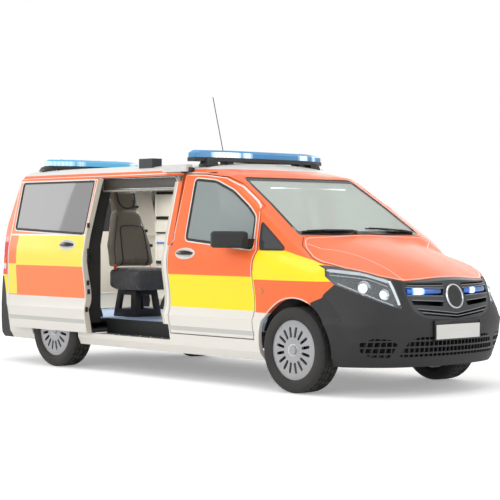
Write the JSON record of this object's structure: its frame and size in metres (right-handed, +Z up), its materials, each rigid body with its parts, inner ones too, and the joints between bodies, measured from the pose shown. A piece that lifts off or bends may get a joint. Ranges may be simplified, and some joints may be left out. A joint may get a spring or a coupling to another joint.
{
  "type": "emergency doctor van",
  "caption": "Van-type rapid response ambulance with blue light bars, windowed cab doors, bonnet, tailgate, open sliding side door, and a load space with attendant seat.",
  "frame": {"origin": "on the ground under the centre of the vehicle's box", "axes": "+X forward, +Y to the vehicle's left, +Z up"},
  "size_m": [5.1526, 2.2478, 2.5011],
  "materials": {
    "body_paint": "white gloss paint",
    "dark_plastic": "grained",
    "lamp_clear": "clear lamp",
    "lamp_red": "red lamp",
    "window_glass": "tinted",
    "floor_lining": "non-slip floor",
    "chassis_steel": "black paint",
    "engine_metal": "cast",
    "tank_plastic": "moulded",
    "seat_cloth": "woven",
    "cabinet_plastic": "laminate",
    "pedestal_plastic": "moulded",
    "bar_base": "moulded",
    "blue_lens": "blue lens",
    "lamp_housing": "white housing",
    "aerial_rubber": "matt",
    "plate_white": "blank plate",
    "tyre": "rubber",
    "wheel_cover": "silver paint"
  },
  "bodies": {
    "body": {"side_left": "body_paint", "side_right": "body_paint", "pillar_right": "body_paint", "roof": "body_paint", "floor_pan": "floor_lining", "wheelhouses": "dark_plastic", "wall_lining": "cabinet_plastic", "bulkhead": "chassis_steel", "fenders": "body_paint", "front_bumper": "dark_plastic", "headlamps": "lamp_clear", "upper_grille": "dark_plastic", "lower_grilles": "dark_plastic", "windscreen": "window_glass", "side_windows": "window_glass", "slide_door": "body_paint", "slide_door_glass": "window_glass", "slide_rail": "dark_plastic", "tail_lamps": "lamp_red", "rear_bumper": "dark_plastic", "front_suspension": "chassis_steel", "rear_axle": "chassis_steel", "engine": "engine_metal", "fuel_tank": "tank_plastic", "exhaust": "chassis_steel", "front_seats": "seat_cloth", "seat_bases": "chassis_steel", "dashboard": "dark_plastic", "steering_wheel": "dark_plastic", "cabinet": "cabinet_plastic", "attendant_seat": "seat_cloth", "seat_pedestal": "pedestal_plastic", "light_bars": "bar_base", "light_bar_lenses": "blue_lens", "roof_lamps": "lamp_housing", "antenna": "aerial_rubber", "number_plates": "plate_white"},
    "bonnet": {"bonnet": "body_paint"},
    "door_left": {"door_left": "body_paint", "door_glass_left": "window_glass", "mirror_left": "dark_plastic"},
    "door_right": {"door_right": "body_paint", "door_glass_right": "window_glass", "mirror_right": "dark_plastic"},
    "tailgate": {"tailgate": "body_paint", "tailgate_glass": "window_glass"},
    "knuckle_left": {"knuckle_left": "chassis_steel"},
    "knuckle_right": {"knuckle_right": "chassis_steel"},
    "wheel_front_left": {"tyre_front_left": "tyre", "wheel_front_left": "wheel_cover"},
    "wheel_front_right": {"tyre_front_right": "tyre", "wheel_front_right": "wheel_cover"},
    "wheel_rear_left": {"tyre_rear_left": "tyre", "wheel_rear_left": "wheel_cover"},
    "wheel_rear_right": {"tyre_rear_right": "tyre", "wheel_rear_right": "wheel_cover"}
  },
  "joints": [
    {"name": "bonnet_hinge", "type": "hinge", "parent": "body", "child": "bonnet", "pos_m": [1.548, 0, 1.256], "axis": [0, -1, 0], "range_deg": [0, 55]},
    {"name": "door_left_hinge", "type": "hinge", "parent": "body", "child": "door_left", "pos_m": [1.25, 0.966, 0.78], "axis": [0, 0, -1], "range_deg": [0, 65]},
    {"name": "door_right_hinge", "type": "hinge", "parent": "body", "child": "door_right", "pos_m": [1.25, -0.966, 0.78], "axis": [0, 0, 1], "range_deg": [0, 65]},
    {"name": "tailgate_hinge", "type": "hinge", "parent": "body", "child": "tailgate", "pos_m": [-2.312, 0, 1.8], "axis": [0, 1, 0], "range_deg": [0, 85]},
    {"name": "steer_left", "type": "hinge", "parent": "body", "child": "knuckle_left", "pos_m": [1.675, 0.813, 0.34], "axis": [0, 0, 1], "range_deg": [-32, 32]},
    {"name": "steer_right", "type": "hinge", "parent": "body", "child": "knuckle_right", "pos_m": [1.675, -0.813, 0.34], "axis": [0, 0, 1], "range_deg": [-32, 32]},
    {"name": "wheel_front_left_spin", "type": "hinge", "parent": "knuckle_left", "child": "wheel_front_left", "pos_m": [1.675, 0.833, 0.34], "axis": [0, 1, 0], "continuous": true},
    {"name": "wheel_front_right_spin", "type": "hinge", "parent": "knuckle_right", "child": "wheel_front_right", "pos_m": [1.675, -0.833, 0.34], "axis": [0, 1, 0], "continuous": true},
    {"name": "wheel_rear_left_spin", "type": "hinge", "parent": "body", "child": "wheel_rear_left", "pos_m": [-1.525, 0.833, 0.34], "axis": [0, 1, 0], "continuous": true},
    {"name": "wheel_rear_right_spin", "type": "hinge", "parent": "body", "child": "wheel_rear_right", "pos_m": [-1.525, -0.833, 0.34], "axis": [0, 1, 0], "continuous": true}
  ],
  "couplings": [
    {"joint": "steer_right", "follows": "steer_left", "ratio": 1}
  ]
}
